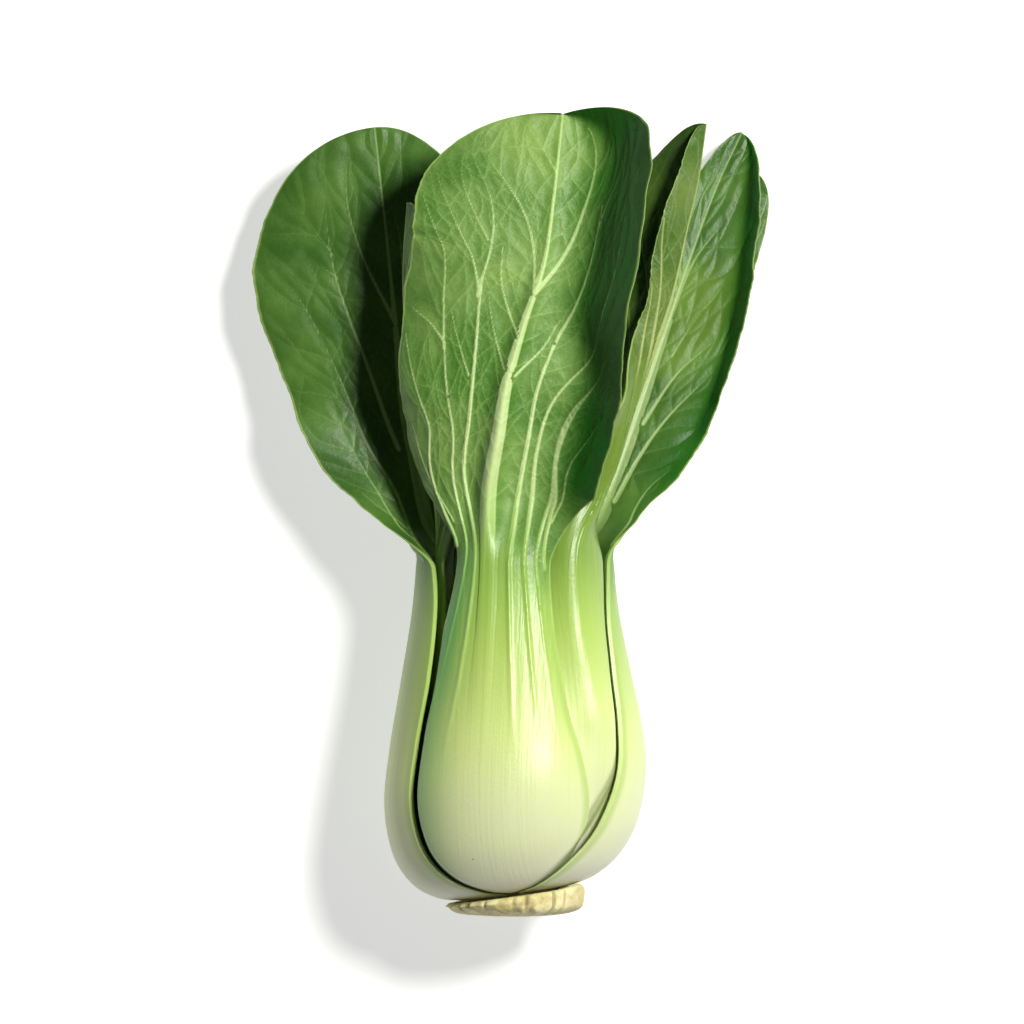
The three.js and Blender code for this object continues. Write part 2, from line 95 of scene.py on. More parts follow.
LEAF_PLANS = [
    {
        "name": "left_outer_leaf",
        "angle": 200,
        "start": 0,
        "thick": 0.24,
        "bulge": 0.03,
        "blend": 10,
        "crisp": 1,
        "widths": [
            (0, 20, 24), (0.1, 24, 28), (0.25, 29, 30.5), (0.55, 34, 30.5), (0.78, 26, 28.5),
            (0.9, 16, 25.5), (1, 8.5, 21.5), (1.07, 4.5, 15), (1.15, 6, 17), (1.22, 9, 20.5),
            (1.31, 13, 24.5), (1.39, 15, 26.5), (1.5, 17, 30), (1.58, 18.5, 32.5), (1.68, 20, 34),
            (1.79, 21, 31.5), (1.88, 20.5, 28), (2, 18, 26),
        ],
        "spine": [
            (-24, 104, -10), (-27, 122, -11.5), (-29, 142, -12), (-31, 162, -12), (-33, 180, -12),
            (-34.5, 194, -12),
        ],
        "turn": [(1, 120), (1.06, 146), (1.14, 167), (1.3, 176), (1.5, 184), (2, 188)],
        "fold": [(1, 0), (1.5, 4), (2, 0)],
        "curl": [(1, 40, 40), (1.2, 10, 0), (1.5, 4, -14), (2, 0, -10)],
        "ruffle": [1.2, 3.4, 0.4],
        "lobe": [0, 0],
        "detail": 1.0,
    },
    {
        "name": "right_outer_leaf",
        "angle": -25,
        "start": 0.15,
        "thick": 0.24,
        "bulge": 0.03,
        "blend": 12,
        "crisp": -1,
        "widths": [
            (0, 28, 19), (0.12, 33, 24), (0.25, 37, 29), (0.4, 36.5, 33), (0.52, 33.7, 34),
            (0.67, 29.5, 30), (0.76, 26.7, 26), (0.88, 22.2, 18), (1, 16.3, 12), (1.11, 11.5, 7),
            (1.19, 14, 7), (1.29, 19, 10), (1.41, 23, 13), (1.52, 24, 14), (1.65, 22.5, 11.5),
            (1.77, 19, 8), (1.89, 15.5, 6), (2, 13, 5),
        ],
        "spine": [
            (25, 104, -12), (31, 124, -15), (37.5, 144, -18), (44, 164, -20.5), (50, 180, -22.5),
            (56, 193, -24),
        ],
        "turn": [(1, -125), (1.08, -148), (1.2, -170), (1.5, -178), (2, -182)],
        "fold": [(1, 0), (1.5, 4), (2, 6)],
        "curl": [(1, 40, 40), (1.2, 8, 10), (1.35, 45, 8), (1.5, 58, 8), (2, 56, 8)],
        "creasedSide": -1,
        "crease": [(1.15, 0.6, 0.95, 0), (1.35, 0.6, 0.9, 1), (1.6, 0.5, 0.8, 1), (2, 0.3, 0.7, 1)],
        "ruffle": [0.8, 4.2, 1.6],
        "lobe": [0, 0],
        "detail": 1.0,
    },
    {
        "name": "front_leaf",
        "angle": 107,
        "start": 0.3,
        "thick": 0.24,
        "bulge": 0.05,
        "widths": [
            (0, 15, 14.5), (0.2, 22, 22), (0.31, 26, 26.5), (0.45, 29, 29.5), (0.57, 28, 27.5),
            (0.68, 23.5, 23.5), (0.78, 17.5, 20.5), (0.88, 13, 17.8), (1, 9, 16.3), (1.06, 10, 17.8),
            (1.12, 16, 21), (1.2, 26, 26.5), (1.3, 30, 29.5), (1.4, 31, 31), (1.5, 32, 32),
            (1.6, 33.5, 32), (1.7, 34.5, 31.5), (1.8, 34, 31.5), (1.9, 33, 34), (2, 32, 36),
        ],
        "spine": [
            (-6.6, 104, 23), (-4.2, 118, 25.5), (-2, 131, 26.5), (2, 145, 26.5), (7, 160, 26),
            (9.5, 177, 24.5), (11.5, 196, 21),
        ],
        "turn": [(1, 14), (1.2, 4), (1.5, 0), (2, -4)],
        "fold": [(1, 0), (1.3, 4), (2, 2)],
        "curl": [
            (1, 10, 4), (1.08, 20, -30), (1.2, 54, -48), (1.35, 50, -58), (1.5, 32, -62), (2, 20, -66),
        ],
        "creasedSide": 1,
        "crease": [
            (1.08, 0.4, 0.85, 0), (1.2, 0.32, 0.75, 1), (1.45, 0.32, 0.7, 1), (1.65, 0.05, 0.5, 1),
            (2, 0.1, 0.65, 1),
        ],
        "ruffle": [1.2, 3.1, 2.2],
        "lobe": [0, 8],
        "detail": 1.0,
    },
    {
        "name": "back_leaf",
        "angle": 252,
        "start": 0.5,
        "thick": 0.22,
        "bulge": 0.06,
        "widths": [
            (0, 15, 15), (0.3, 24, 24), (0.55, 27, 27), (0.8, 19, 15.5), (1, 11, 8), (1.1, 12, 8.5),
            (1.2, 16, 14), (1.35, 21, 22), (1.5, 24, 25), (1.7, 24, 25), (1.85, 23, 23), (2, 21, 21),
        ],
        "spine": [(-7.5, 104, -26), (-6, 124, -30.5), (-4, 144, -31.5), (-2, 162, -31.5), (0, 177, -31)],
        "turn": [(1, 162), (1.3, 176), (2, 180)],
        "fold": [(1, 0), (2, 0)],
        "curl": [(1, 12, 30), (1.3, 6, 8), (2, 4, 4)],
        "ruffle": [0.6, 3, 0.9],
        "lobe": [0, 0],
        "detail": 0.75,
    },
    {
        "name": "folded_leaf",
        "angle": 48,
        "start": 0.7,
        "thick": 0.2,
        "bulge": 0.07,
        "stem": 2,
        "widths": [
            (0, 12, 12), (0.3, 19, 20), (0.55, 20, 19), (0.7, 17, 13), (0.8, 14.5, 11.5), (0.9, 11.5, 11),
            (1, 9, 12), (1.1, 6, 11.5), (1.25, 6, 11), (1.38, 7.5, 12), (1.5, 7, 15), (1.65, 8.5, 17),
            (1.8, 8.8, 18), (1.9, 8.5, 17), (2, 7, 13),
        ],
        "spine": [
            (20.5, 100, 14.5), (25, 111, 13.5), (29, 124, 13), (34, 138, 12.5), (38.5, 152, 12),
            (42, 168, 12), (44.7, 180, 12), (46.7, 194, 12),
        ],
        "turn": [(1, -42), (1.25, -72), (1.5, -98), (2, -106)],
        "fold": [(1, 0), (1.3, 20), (1.55, 46), (2, 44)],
        "curl": [(1, 25, 25), (1.25, 10, 14), (1.38, -50, 10), (1.5, 20, 8), (1.62, 48, 6), (2, 50, 0)],
        "ruffle": [0.4, 4, 0.2],
        "lobe": [0, 0],
        "detail": 0.9,
    },
    {
        "name": "left_inner_leaf",
        "angle": 170,
        "start": 1.0,
        "thick": 0.18,
        "bulge": 0.06,
        "widths": [
            (0, 10, 10), (0.3, 17, 17), (0.55, 19, 19), (0.8, 12, 13), (1, 8, 8.4), (1.15, 8, 8),
            (1.3, 9, 10), (1.5, 10, 13), (1.7, 11, 13), (1.85, 10, 12), (2, 8, 9),
        ],
        "spine": [(-20, 104, 5), (-24, 124, 6), (-27, 144, 6.5), (-27.5, 160, 7), (-26.5, 175, 7)],
        "turn": [(1, 80), (2, 84)],
        "fold": [(1, 0), (1.4, 14), (2, 10)],
        "curl": [(1, 32, 32), (1.4, 20, 20), (2, 14, 14)],
        "ruffle": [0.6, 3, 1.2],
        "lobe": [0, 0],
        "detail": 0.6,
    },
    {
        "name": "right_back_leaf",
        "angle": 293,
        "start": 1.2,
        "thick": 0.18,
        "bulge": 0.06,
        "widths": [
            (0, 10, 10), (0.3, 17, 17), (0.55, 18, 18), (0.75, 11, 8), (1, 8, 5), (1.15, 8, 6),
            (1.3, 11, 9), (1.5, 14, 12.5), (1.7, 13, 12), (1.85, 10, 10), (2, 8, 8),
        ],
        "spine": [
            (12, 104, -22), (23, 122, -26), (36, 142, -29.5), (47, 160, -30.5), (55, 173, -30.5),
            (60, 183, -30),
        ],
        "turn": [(1, 203), (1.25, 187), (1.5, 181), (2, 180)],
        "fold": [(1, 0), (2, 2)],
        "curl": [(1, 30, 30), (1.3, 8, 8), (2, 4, 4)],
        "ruffle": [0.4, 3.5, 2.6],
        "lobe": [0, 0],
        "detail": 0.6,
    },
    {
        "name": "front_inner_leaf",
        "angle": 85,
        "start": 1.5,
        "thick": 0.15,
        "bulge": 0.05,
        "widths": [
            (0, 8, 8), (0.3, 14, 14), (0.55, 16, 16), (0.8, 12, 12), (1, 9, 9), (1.15, 9.5, 9.5),
            (1.3, 12, 11), (1.5, 14, 12), (1.7, 14, 12), (1.85, 13, 11), (2, 11, 10),
        ],
        "spine": [(1, 102, 14.5), (1, 120, 14), (2, 138, 14), (4, 154, 13.5), (6, 166, 12)],
        "turn": [(1, -5), (2, 0)],
        "fold": [(1, 0), (1.4, 10), (2, 6)],
        "curl": [(1, 32, 32), (1.4, 36, 30), (2, 26, 26)],
        "ruffle": [0.5, 3, 0],
        "lobe": [0, 0],
        "detail": 0.45,
    },
    {
        "name": "back_inner_leaf",
        "angle": 222,
        "start": 1.8,
        "thick": 0.13,
        "bulge": 0.05,
        "widths": [
            (0, 7, 7), (0.3, 12, 12), (0.55, 12.5, 12.5), (0.8, 7, 7.5), (1, 4.8, 4.8), (1.2, 7, 6.5),
            (1.4, 9, 9), (1.6, 9.5, 9.5), (1.8, 8.5, 8.5), (2, 6.5, 6.5),
        ],
        "spine": [(-9, 100, -7), (-8.5, 114, -6.5), (-8, 128, -7), (-7, 143, -8)],
        "turn": [(1, 132), (2, 145)],
        "fold": [(1, 0), (1.4, 10), (2, 8)],
        "curl": [(1, 32, 32), (1.4, 26, 26), (2, 20, 20)],
        "ruffle": [0.3, 3, 0.7],
        "lobe": [0, 0],
        "detail": 0.45,
    },
    {
        "name": "heart_leaf_right",
        "angle": 0,
        "start": 2.1,
        "thick": 0.12,
        "bulge": 0.04,
        "widths": [
            (0, 6, 6), (0.3, 10, 10), (0.55, 11, 11), (0.8, 8, 8), (1, 6, 6), (1.2, 7, 7),
            (1.4, 8.5, 8.5), (1.6, 9, 9), (1.8, 8, 8), (2, 6, 6),
        ],
        "spine": [(11, 98, 0.5), (11, 110, 1), (10.5, 122, 1.5), (9.5, 133, 2)],
        "turn": [(1, -90), (2, -88)],
        "fold": [(1, 0), (1.4, 12), (2, 10)],
        "curl": [(1, 30, 30), (1.4, 34, 34), (2, 26, 26)],
        "ruffle": [0.3, 3, 1.9],
        "lobe": [0, 0],
        "detail": 0.45,
    },
    {
        "name": "heart_leaf_left",
        "angle": 120,
        "start": 2.4,
        "thick": 0.12,
        "bulge": 0.04,
        "widths": [
            (0, 5, 5), (0.3, 8, 8), (0.55, 8.2, 8.5), (0.8, 5, 5.5), (1, 2.6, 3.4), (1.25, 4, 4.6),
            (1.5, 6, 7), (1.75, 6.5, 6.5), (2, 5, 5),
        ],
        "spine": [(-4.2, 96, 3), (-3.8, 106, 3.2), (-3.6, 117, 3.4)],
        "turn": [(1, 47), (2, 50)],
        "fold": [(1, 0), (1.4, 12), (2, 10)],
        "curl": [(1, 30, 30), (1.4, 40, 40), (2, 30, 30)],
        "ruffle": [0.2, 2.5, 0.5],
        "lobe": [0, 0],
        "detail": 0.45,
    },
]


# Ribs besides the midrib: width at the start and at the end, and a route of places up the leaf,
# each with its share of the way out to the margin
FRONT_RIBS = [
    # out of the stalk on the left, and their forks
    (2.0, 0.45, [(0.5, -0.35), (0.95, -0.35), (1.35, -0.27), (1.6, -0.4)]),
    (0.6, 0.15, [(1.56, -0.4), (1.8, -0.45), (1.95, -0.9)]),
    (0.5, 0.15, [(1.57, -0.4), (1.75, -0.7), (1.85, -0.9)]),
    (0.4, 0.1, [(1.7, -0.42), (1.8, -0.62), (1.9, -0.8)]),
    (1.4, 0.35, [(0.5, -0.7), (0.95, -0.7), (1.22, -0.4), (1.45, -0.57)]),
    (0.5, 0.15, [(1.44, -0.57), (1.65, -0.75), (1.8, -0.95)]),
    (0.5, 0.15, [(1.45, -0.57), (1.48, -0.72), (1.5, -0.9)]),
    (1.1, 0.2, [(1.05, -0.95), (1.25, -0.65), (1.45, -0.95)]),
    (0.5, 0.15, [(1.1, -0.72), (1.2, -0.8), (1.3, -0.95)]),
    # out of the stalk on the right
    (2.0, 0.25, [(0.5, 0.35), (0.95, 0.35), (1.4, 0.25), (1.8, 0.4)]),
    (1.7, 0.2, [(0.5, 0.6), (0.95, 0.6), (1.3, 0.35), (1.6, 0.65)]),
    (1.4, 0.2, [(0.5, 0.8), (0.95, 0.8), (1.28, 0.48), (1.5, 0.7)]),
    (1.0, 0.2, [(1.0, 0.9), (1.25, 0.5), (1.45, 0.63)]),
    (0.5, 0.15, [(1.1, 0.75), (1.25, 0.6), (1.35, 0.8)]),
    # out of the midrib
    (0.5, 0.15, [(1.42, 0.05), (1.5, 0.2), (1.57, 0.25)]),
    (1.0, 0.2, [(1.6, 0), (1.75, 0.2), (1.97, 0.36)]),
    (0.6, 0.15, [(1.6, 0), (1.8, -0.25), (1.97, -0.9)]),
    (0.5, 0.15, [(1.5, 0), (1.6, -0.25), (1.7, -0.32)]),
    (0.4, 0.1, [(1.87, 0), (1.92, -0.15), (1.97, -0.45)]),
    (0.4, 0.1, [(1.43, -0.05), (1.5, -0.2), (1.57, -0.32)]),
    # between the ribs
    (0.4, 0.1, [(1.4, -0.32), (1.48, -0.5), (1.52, -0.57)]),
    (0.4, 0.1, [(1.75, 0.38), (1.8, 0.45), (1.88, 0.6)]),
    (0.4, 0.1, [(1.6, 0.65), (1.67, 0.72), (1.76, 0.75)]),
]
LEFT_RIBS = [
    (1.1, 0.2, [(1.02, 0.9), (1.09, 0.4), (1.3, 0.45), (1.55, 0.6)]),
    (0.5, 0.1, [(1.05, 0.65), (1.2, 0.6), (1.4, 0.65)]),
    (1.3, 0.2, [(1.27, 0.15), (1.55, 0.33), (1.83, 0.48)]),
    (1.1, 0.2, [(1.55, 0), (1.72, 0.2), (1.94, 0.38)]),
    (0.7, 0.2, [(1.6, -0.15), (1.74, -0.16), (1.82, -0.1)]),
    (0.4, 0.1, [(1.67, 0.38), (1.7, 0.5), (1.73, 0.62)]),
    (0.4, 0.1, [(1.72, 0.4), (1.82, 0.65), (1.9, 0.95)]),
    (0.4, 0.1, [(1.55, 0.6), (1.63, 0.68), (1.7, 0.83)]),
    (0.4, 0.1, [(1.35, 0.48), (1.42, 0.66), (1.47, 0.88)]),
    (0.4, 0.1, [(1.08, 0.48), (1.14, 0.74), (1.18, 0.82)]),
]
RIGHT_RIBS = [
    (1.1, 0.2, [(1.05, -0.95), (1.17, -0.66), (1.24, -0.8)]),
    (1.4, 0.2, [(1.14, -0.15), (1.32, -0.3), (1.48, -0.6)]),
    (1.1, 0.2, [(1.32, -0.1), (1.45, -0.26), (1.54, -0.5)]),
    (0.6, 0.1, [(1.48, -0.14), (1.55, -0.22), (1.6, -0.3)]),
    (1.0, 0.2, [(1.56, 0), (1.7, -0.06), (1.8, -0.26)]),
    (0.4, 0.1, [(1.6, -0.3), (1.63, -0.38), (1.67, -0.45)]),
]
RIBS = {"front_leaf": FRONT_RIBS, "left_outer_leaf": LEFT_RIBS, "right_outer_leaf": RIGHT_RIBS}


def feathered(pairs):
    """Plain ribs in pairs: the lowest come out of the stalk, the others out of the midrib."""
    routes = []
    for side in (-1, 1):
        routes.append([(0.75, 0.4 * side), (1.0, 0.4 * side), (1.15, 0.5 * side), (1.32, 0.95 * side)])
        for k in range(1, pairs):
            leave = 1 + 0.17 * k + (0.06 if side > 0 else 0)
            reach = min(leave + 0.5 - 0.03 * k, 1.97)
            shares = ((0, 0), (0.3, 0.2), (0.6, 0.5), (1, 0.95))
            routes.append([(leave + way * (reach - leave), out * side) for way, out in shares])
    return [(0.8, 0.3, route) for route in routes]


def ribs_of(name):
    return RIBS.get(name) or feathered(3 if name == "folded_leaf" else 5)



# ---- Small mathematics ----
def through(keys, x, column=1):
    """A smooth line through the keys' first and given column."""
    at = np.array([key[0] for key in keys], float)
    value = np.array([key[column] for key in keys], float)
    ahead = np.minimum(np.arange(len(at)) + 1, len(at) - 1)
    behind = np.maximum(np.arange(len(at)) - 1, 0)
    slope = (value[ahead] - value[behind]) / (at[ahead] - at[behind])
    x = np.clip(x, at[0], at[-1])
    i = np.clip(np.searchsorted(at, x, side="right") - 1, 0, len(at) - 2)
    span = at[i + 1] - at[i]
    s = (x - at[i]) / span
    rise = value[i + 1] - value[i]
    m0, m1 = slope[i] * span, slope[i + 1] * span
    return value[i] + s * (m0 + s * (3 * rise - 2 * m0 - m1 + s * (m0 + m1 - 2 * rise)))


def ease(x, low, high):
    s = np.clip((x - low) / (high - low), 0, 1)
    return s * s * (3 - 2 * s)


def lerp(a, b, s):
    return a + (b - a) * s


def unit(v):
    return v / np.maximum(np.linalg.norm(v, axis=-1, keepdims=True), 1e-9)


def rounding(p):
    """How a blade narrows over its rounded tip."""
    return np.sqrt(1 - np.clip((p - ROUNDED) / (2 - ROUNDED), 0, 1) ** 2)


def ripples(u, v, wavelength, seed, count=6):
    """Gentle seeded waves between about -1 and 1."""
    chance = np.random.default_rng(seed)
    total = np.zeros(np.broadcast(u, v).shape)
    for _ in range(count):
        heading = chance.uniform(0, 2 * math.pi)
        length = wavelength * chance.uniform(0.7, 1.5)
        phase = chance.uniform(0, 2 * math.pi)
        total += np.sin(2 * math.pi * (u * math.cos(heading) + v * math.sin(heading)) / length + phase)
    return total / count * 1.6


# ---- The wrapped stalks ----
def head_point(station, angle, depth):
    r = lerp(through(HEAD, station, 1), through(HEAD, station, 3), depth)
    h = lerp(through(HEAD, station, 2), through(HEAD, station, 4), depth)
    return np.stack([r * np.cos(angle), h, r * np.sin(angle)], -1)


def head_depth(station):
    zero = np.zeros_like(station)
    return np.linalg.norm(head_point(station, zero, zero) - head_point(station, zero, zero + 1), axis=-1)


class Leaf:
    def __init__(self, plan, order):
        self.plan, self.order = plan, order
        self.length = 100.0  # until the path is known
        outer, inner = self.stalk(np.array([0.88, 1.0]), np.zeros(2))
        self.neck_thickness = np.linalg.norm(outer[1] - inner[1])
        knots = np.array([outer[0], outer[1], *plan["spine"]], float)
        self.lead = np.linalg.norm(outer[1] - outer[0])
        self.trace_path(knots)
        self.length = self.path_length - self.lead

    def trace_path(self, knots):
        """A spline through the knots, measured along its length."""
        ends = [2 * knots[0] - knots[1], *knots, 2 * knots[-1] - knots[-2]]
        points = []
        for a, b, c, d in zip(ends, ends[1:], ends[2:], ends[3:]):
            s = np.linspace(0, 1, 60, endpoint=False)[:, None]
            second, third = 2 * a - 5 * b + 4 * c - d, 3 * b - a - 3 * c + d
            points.append(0.5 * (2 * b + (c - a) * s + second * s**2 + third * s**3))
        points = np.concatenate([*points, knots[-1:]])
        steps = np.linalg.norm(np.diff(points, axis=0), axis=1)
        self.path_at = np.concatenate([[0], np.cumsum(steps)])
        self.path_points = points
        self.path_tangents = unit(np.gradient(points, self.path_at, axis=0))
        self.path_length = self.path_at[-1]

    def on_path(self, distance, values):
        return np.stack([np.interp(distance, self.path_at, values[:, i]) for i in range(3)], -1)

    def two_sided(self, key, p, t):
        return np.where(t < 0, through(self.plan[key], p, 1), through(self.plan[key], p, 2))

    def half_width(self, p, t):
        return np.maximum(self.two_sided("widths", p, t) * rounding(p), 0.4)

    def station(self, p):
        start = self.plan["start"]
        return np.where(p <= 1, lerp(start, NECK_STATION, p), NECK_STATION + (p - 1) * self.length / 19)

    def margin_drop(self, a):
        return self.plan["bulge"] * a**3

    def stalk_thickness(self, a):
        return self.plan["thick"] * (0.2 + 0.8 * (1 - np.minimum(a * a, 1)) ** 0.8)

    def away(self, angle):
        return (math.radians(self.plan["angle"]) - angle + math.pi) % (2 * math.pi) - math.pi

    def reach(self, station, angle):
        """How far a place round the head is from this stalk's middle, its margins being at 1."""
        start = self.plan["start"]
        p = np.minimum((station - start) / (NECK_STATION - start), 1)
        away = self.away(angle)
        width = np.where(away < 0, through(self.plan["widths"], p, 1), through(self.plan["widths"], p, 2))
        return np.abs(away) / (width / through(HEAD, station, 1))

    def cover(self, station, angle):
        """How much of the head's depth this leaf takes up from the leaves inside it."""
        a = self.reach(station, angle)
        air = AIR if "crisp" in self.plan else LOOSE_AIR
        taken = self.margin_drop(np.minimum(a, 1.05)) + self.stalk_thickness(a) + air / head_depth(station)
        far = np.where(self.away(angle) * self.plan.get("crisp", 0) > 0, 1.16, 1.45)
        return (1 - ease(a, 0.99, far)) * taken

    def round_head(self, p, t):
        """The station and the angle round the head of a place on the stalk."""
        station = self.station(p)
        turned = t * self.half_width(p, t) / through(HEAD, station, 1)
        return station, math.radians(self.plan["angle"]) - turned

    def stalk(self, p, t):
        station, angle = self.round_head(p, t)
        a = np.abs(t)
        depth = sum((leaf.cover(station, angle) for leaf in LEAVES[: self.order]), 0) + self.margin_drop(a)
        thickness = self.stalk_thickness(a)
        return head_point(station, angle, depth), head_point(station, angle, depth + thickness)

    def curled(self, p, t, at):
        """How much of its curl a blade has taken at a share of its half width."""
        if "crease" not in self.plan:
            return at * at
        start, end, degree = (through(self.plan["crease"], p, column) for column in (1, 2, 3))
        creased = t * self.plan["creasedSide"] >= 0
        return np.where(creased, lerp(at * at, ease(at, start, end), degree), at * at)

    def painted_bend_shade(self, p, t):
        """Painted shade: 1 where a blade's creased side has bent all the way, and less over the rest of it.
        """
        if "crease" not in self.plan:
            return np.zeros_like(p)
        creased = t * self.plan["creasedSide"] >= 0
        bent = creased * self.curled(p, t, np.abs(t)) * through(self.plan["crease"], p, 3)
        # the rest of the creased side takes part of the painted shade
        near = ease(t * self.plan["creasedSide"], 0.3, 0.8) * ease(p, 1.04, 1.25)
        return np.maximum(bent, near * BEND_SHADE_SPREAD)

    def nook(self, p, t):
        """Painted contact shade: 1 right beside the margin of a leaf that wraps over this one's stalk."""
        station, angle = self.round_head(p, t)
        beside = np.zeros_like(p)
        for leaf in LEAVES[: self.order]:
            beside = np.maximum(beside, np.exp(-(((leaf.reach(station, angle) - 1) / 0.035) ** 2)))
        return beside * ease(p, 1.0, 0.96)

    def blade(self, p, t):
        """The outer and inner faces after the neck, bent bit by bit from the midrib out."""
        share = np.abs(t)
        along = np.clip(self.lead + (p - 1) * self.length, 0, self.path_length)
        tangent = unit(self.on_path(along, self.path_tangents))
        turn = np.radians(through(self.plan["turn"], p))
        across = np.stack([np.cos(turn), np.zeros_like(turn), np.sin(turn)], -1)
        across = unit(across - tangent * np.sum(across * tangent, -1, keepdims=True))
        inward = np.cross(tangent, across)
        width = self.half_width(p, t)
        fold = np.radians(through(self.plan["fold"], p))
        curl = np.radians(self.two_sided("curl", p, t))
        x = np.zeros_like(share)
        n = np.zeros_like(share)
        steps = 16

        def bent(at):
            return fold + curl * self.curled(p, t, at)

        for i in range(steps):
            at = (i + 0.5) / steps * share
            x += np.cos(bent(at)) * width * share / steps
            n += np.sin(bent(at)) * width * share / steps
        edge_angle = bent(share)
        height, waves, phase = self.plan["ruffle"]
        swing = 2 * math.pi * waves * (p - 1) + phase + np.where(t < 0, 1.7, 0)
        free = ease(p, 1.05, 1.3)
        n = n + height * share**2 * np.sin(swing) * free
        lobe = np.where(t < 0, *self.plan["lobe"])
        ahead = lobe * share**2 * ease(p, 1.6, 1.9) * rounding(p)
        rib_height = (self.neck_thickness - BLADE_THICKNESS) * np.clip(2 - p, 0, 1) ** 1.5
        rib_width = self.plan.get("stem", 1) * (1 + 2.5 * np.clip(2 - p, 0, 1))
        rib = np.exp(-((share * width / rib_width) ** 2))
        middle = self.on_path(along, self.path_points)
        sideways = (np.sign(t) * x)[..., None]
        middle = middle + across * sideways + inward * n[..., None] + tangent * ahead[..., None]
        leaning = (np.sign(t) * np.sin(edge_angle))[..., None]
        lift = unit(inward * np.cos(edge_angle)[..., None] - across * leaning)
        outer = middle + lift * (rib_height * (1 - rib))[..., None]
        thin = BLADE_THICKNESS * (1 - 0.5 * share**6)
        inner = middle + lift * (rib_height + thin)[..., None]
        return outer, inner

    def faces(self, p, t):
        freedom = ease((p - 1) * self.length, 0, self.plan.get("blend", BLEND))[..., None]
        stalk = self.stalk(np.minimum(p, 1.3), t)
        blade = self.blade(np.maximum(p, 1), t)
        return [lerp(a, b, freedom) for a, b in zip(stalk, blade)]

    # ---- Veins, drawn on the leaf laid flat: u across and v along, from the neck ----
    def flat(self, p, t):
        v = (p - 1) * np.where(p > 1, self.length, 82)
        return t * self.half_width(p, t), v

    def rib(self, thick, fine, route):
        """A rib's places, and its half width at any p."""
        start, stop = route[0][0], route[-1][0]
        p = np.linspace(start, stop, 120)
        return p, through(route, p), lambda p: lerp(thick / 2, fine / 2, (p - start) / (stop - start))

    def grow_veins(self):
        chance = np.random.default_rng(40 + self.order)
        midrib = np.linspace(0.4, 2, 200), np.zeros(200), lambda p: through(MIDRIB, p)
        ribs = [midrib] + [self.rib(*drawn) for drawn in ribs_of(self.plan["name"])]
        self.rib_points, self.rib_widths = self.laid_out(ribs, 0.25)
        tree = tree_of(self.rib_points)
        points, widths = [], []
        for p, t, _ in ribs:
            u, v = self.flat(p, t)
            line = resample(np.stack([u, v], -1), SIDE_VEIN_SPACING)
            for i in range(1, len(line) - 1):
                if line[i][1] < FIRST_SIDE_VEIN:
                    continue
                heading = math.atan2(*(line[i + 1] - line[i - 1])[::-1])
                for side in (-1, 1):
                    turn = math.radians(chance.uniform(*SIDE_VEIN_TURN)) * side
                    grown = self.side_vein(line[i], heading + turn, tree, chance)
                    if len(grown) > 4:
                        points.append(grown)
                        widths.append(np.linspace(*SIDE_VEIN_WIDTHS, len(grown)))
        self.vein_points, self.vein_widths = np.concatenate(points), np.concatenate(widths)

    def side_vein(self, start, heading, tree, chance):
        """A wandering line that turns to the tip and stops at the margin or at a rib."""
        at = np.array(start, float)
        line = []
        wander = 0.0
        for i in range(80):
            wander = 0.85 * wander + chance.normal(0, 0.014)
            towards_tip = math.pi / 2 - heading
            towards_tip = (towards_tip + math.pi) % (2 * math.pi) - math.pi
            heading += 0.012 * towards_tip + wander
            at = at + SIDE_VEIN_STEP * np.array([math.cos(heading), math.sin(heading)])
            p = 1 + at[1] / self.length
            if p >= 1.995 or at[1] < 6:
                break
            if abs(at[0]) > 0.985 * float(self.half_width(np.array(p), np.array(at[0]))):
                break
            line.append(at.copy())
            if i > 8 and tree.find((at[0], at[1], 0))[2] < 0.25:
                break
        return np.array(line)

    def laid_out(self, lines, spacing):
        points, widths = [], []
        for p, t, width in lines:
            u, v = self.flat(p, t)
            line = resample(np.stack([u, v, p], -1), spacing)
            points.append(line[:, :2])
            widths.append(width(line[:, 2]))
        return np.concatenate(points), np.concatenate(widths)


def resample(line, spacing):
    """Evenly spaced points of a flat line, with any further columns carried along."""
    steps = np.linalg.norm(np.diff(line[:, :2], axis=0), axis=1)
    at = np.concatenate([[0], np.cumsum(steps)])
    where = np.arange(0, at[-1], spacing)
    return np.stack([np.interp(where, at, line[:, i]) for i in range(line.shape[1])], -1)


def tree_of(points):
    tree = KDTree(len(points))
    for i, (u, v) in enumerate(points):
        tree.insert((u, v, 0), i)
    tree.balance()
    return tree


def clear_of(points, widths, u, v):
    """Distance from each place to the nearest vein's middle, and that vein's half width."""
    tree = tree_of(points)
    distance = np.empty(u.size)
    width = np.empty(u.size)
    for i, (a, b) in enumerate(zip(u.ravel(), v.ravel())):
        _, nearest, distance[i] = tree.find((a, b, 0))
        width[i] = widths[nearest]
    return distance.reshape(u.shape), width.reshape(u.shape)


LEAVES = []
for order, plan in enumerate(LEAF_PLANS):
    LEAVES.append(Leaf(plan, order))


# ---- Meshes ----
def placed(points, skewed=1):
    """From the head's own axis to the floor, in metres, with the base skewed all or part of the way."""
    x, h, z = points[..., 0], points[..., 1], points[..., 2]
    skew = skewed * BASE_SKEW * x * (1 - ease(h, *SKEW_FADE))
    return np.stack([AXIS_X + x * MM, CUT_Y + (h + skew) * MM, AXIS_Z + z * MM], -1)


